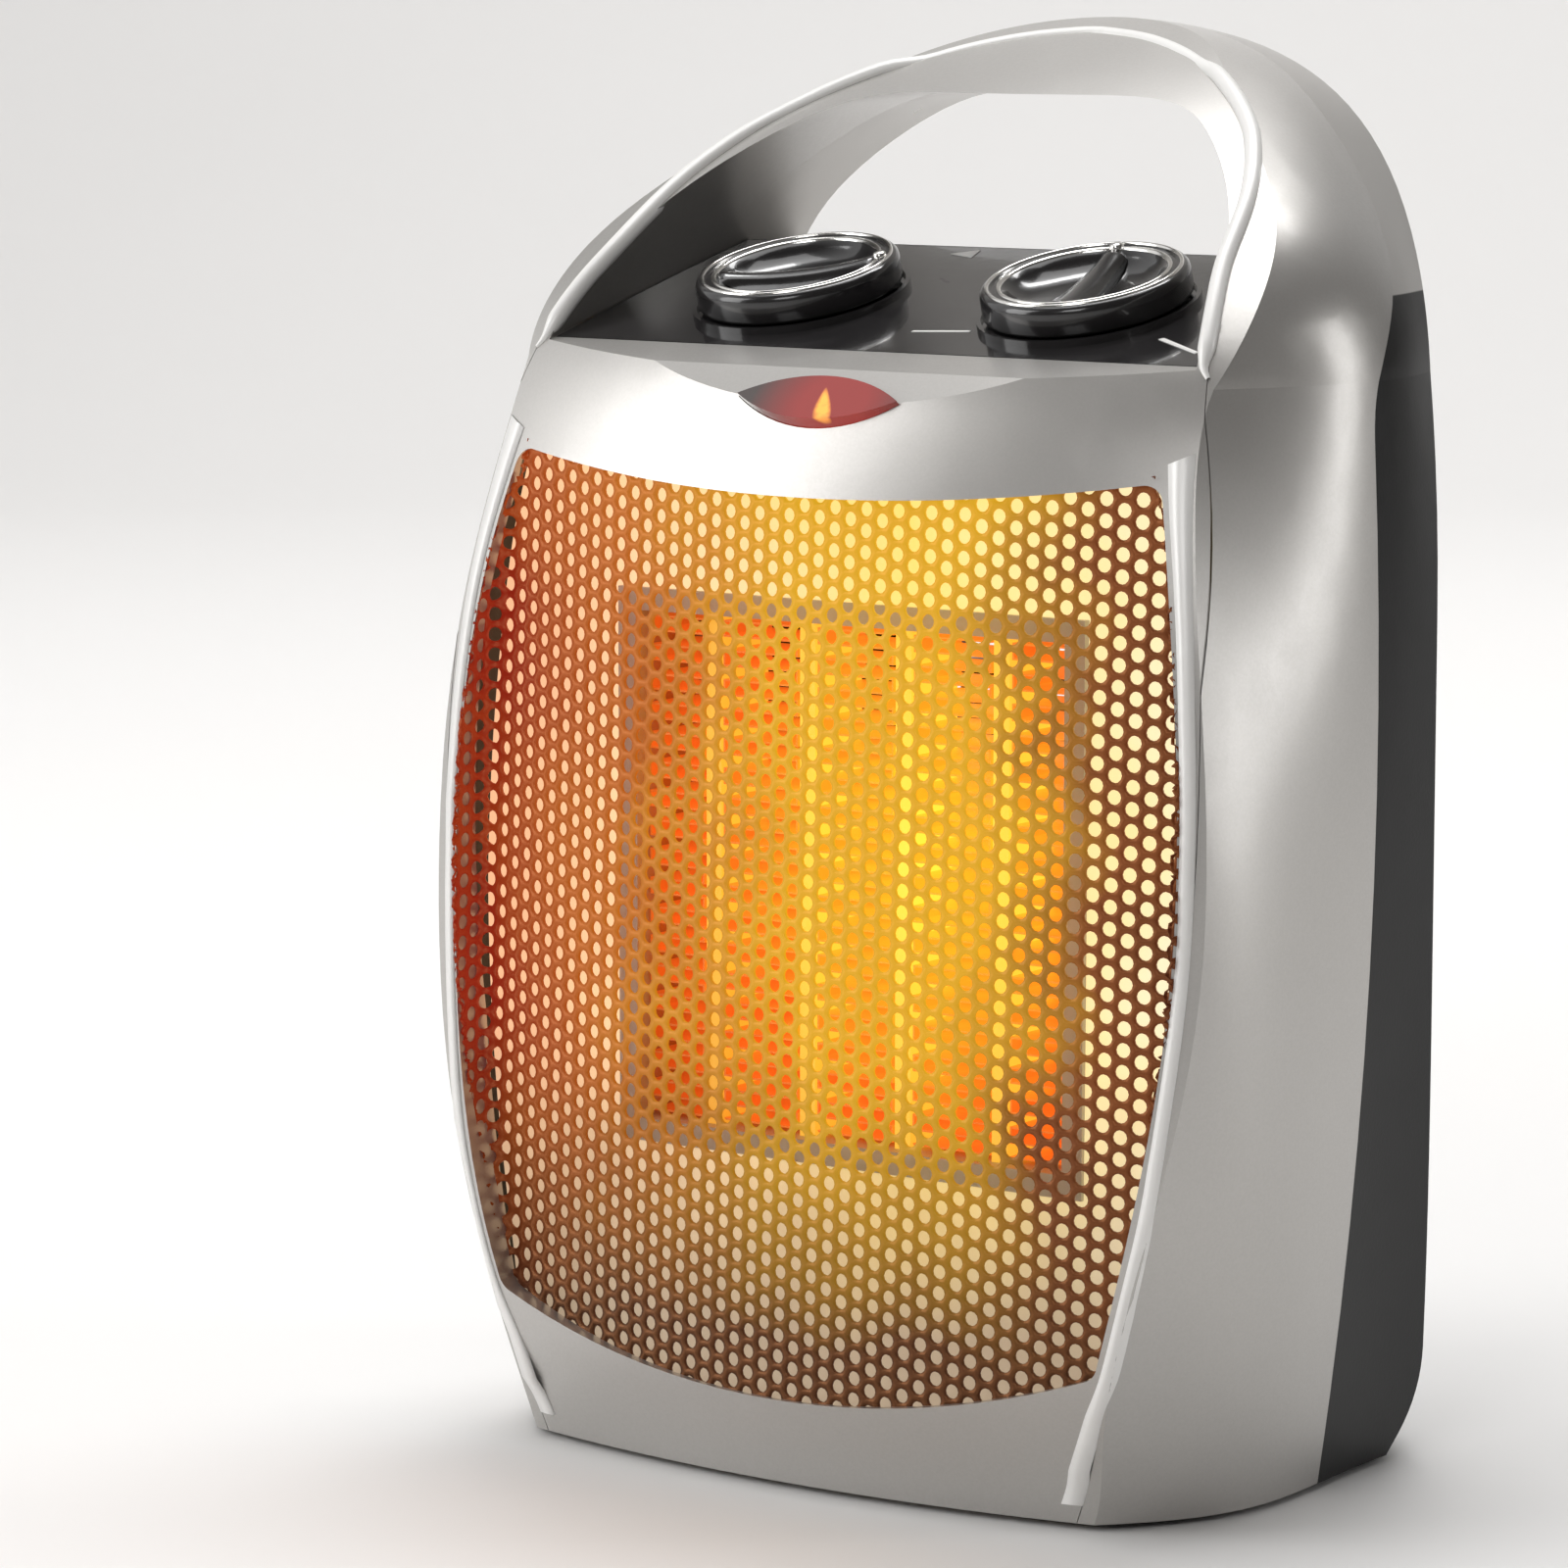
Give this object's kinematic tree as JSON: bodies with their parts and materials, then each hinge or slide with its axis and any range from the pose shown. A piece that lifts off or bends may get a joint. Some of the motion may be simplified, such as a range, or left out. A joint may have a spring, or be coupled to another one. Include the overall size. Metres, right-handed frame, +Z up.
{
  "type": "space heater",
  "caption": "Small upright ceramic fan heater with a bowed perforated front, sloping two-knob control deck, arched carry handle and tip-over switch.",
  "frame": {"origin": "on the floor, under the middle of the body's bounding box", "axes": "+Z up, the grille faces -Y, +X to the right of someone looking along +Y"},
  "size_m": [0.169, 0.126, 0.249],
  "materials": {
    "silver_plastic": "satin pearl silver",
    "black_plastic": "fine-grained satin black",
    "deck_plastic": "polished black",
    "knob_plastic": "polished black",
    "plated_trim": "plated, lightly dulled",
    "lens_red": "tinted see-through red",
    "lamp_glass": "clear bulb with a warm glow",
    "grille_steel": "perforated sheet, satin",
    "inner_plastic": "moulded, heat resistant",
    "pale_plastic": "moulded",
    "ceramic": "fired ceramic bars",
    "fin_aluminium": "folded strip",
    "steel": "plain",
    "laminated_steel": "stacked sheets",
    "copper_coil": "enamelled copper wire",
    "bronze": "sintered bush",
    "rubber": "soft black",
    "lead_insulation": "silicone sleeve"
  },
  "bodies": {
    "housing": {"front_shell": "silver_plastic", "rear_shell": "black_plastic", "front_bezel": "silver_plastic", "front_grille": "grille_steel", "indicator_lens": "lens_red", "indicator_lamp": "lamp_glass", "lamp_holder": "inner_plastic", "control_deck": "deck_plastic", "heater_frame": "pale_plastic", "ceramic_bars": "ceramic", "heating_fins": "fin_aluminium", "element_terminals": "bronze", "air_duct": "inner_plastic", "motor_stator": "laminated_steel", "motor_coil": "copper_coil", "motor_front_bracket": "steel", "motor_rear_bracket": "steel", "motor_bearings": "bronze", "motor_screws": "steel", "bracket_screws": "steel", "housing_screws": "steel", "base_plate": "black_plastic", "rubber_feet": "rubber", "tip_switch_guide": "inner_plastic", "tip_switch_spring": "steel", "micro_switch": "inner_plastic", "thermal_cutout": "inner_plastic", "thermal_fuse": "steel", "terminal_block": "pale_plastic", "terminal_screws": "bronze", "cord_bushing": "black_plastic", "internal_leads": "lead_insulation", "thermostat_control": "pale_plastic", "mode_control": "pale_plastic"},
    "thermostat_dial": {"thermostat_knob": "knob_plastic", "thermostat_knob_ring": "plated_trim", "thermostat_shaft": "steel"},
    "mode_dial": {"mode_knob": "knob_plastic", "mode_knob_ring": "plated_trim", "mode_shaft": "steel"},
    "fan": {"fan_impeller": "inner_plastic", "motor_shaft": "steel", "motor_rotor": "steel"},
    "tip_plunger": {"tip_switch_plunger": "pale_plastic"},
    "lever": {"switch_lever": "steel"}
  },
  "joints": [
    {"name": "thermostat_turn", "type": "hinge", "parent": "housing", "child": "thermostat_dial", "pos_m": [-0.03, -0.0121, 0.2002], "axis": [0, -0.2756, 0.9613], "range_deg": [-270, 0]},
    {"name": "mode_turn", "type": "hinge", "parent": "housing", "child": "mode_dial", "pos_m": [0.03, -0.0121, 0.2002], "axis": [0, -0.2756, 0.9613], "range_deg": [-180, 90]},
    {"name": "fan_spin", "type": "hinge", "parent": "housing", "child": "fan", "pos_m": [0, 0, 0.102], "axis": [0, 1, 0], "continuous": true},
    {"name": "tip_plunger_slide", "type": "slide", "parent": "housing", "child": "tip_plunger", "axis": [0, 0, 1], "range_m": [-0.004, 0], "stiffness_N_per_m": 60, "springref_m": -0.01, "deforming": ["tip_switch_spring"]},
    {"name": "lever_swing", "type": "hinge", "parent": "housing", "child": "lever", "pos_m": [0.025, 0.009, 0.0264], "axis": [0, 1, 0], "range_deg": [-1, 16]}
  ],
  "couplings": [
    {"joint": "lever_swing", "follows": "tip_plunger_slide", "rad_per_m": -66}
  ]
}
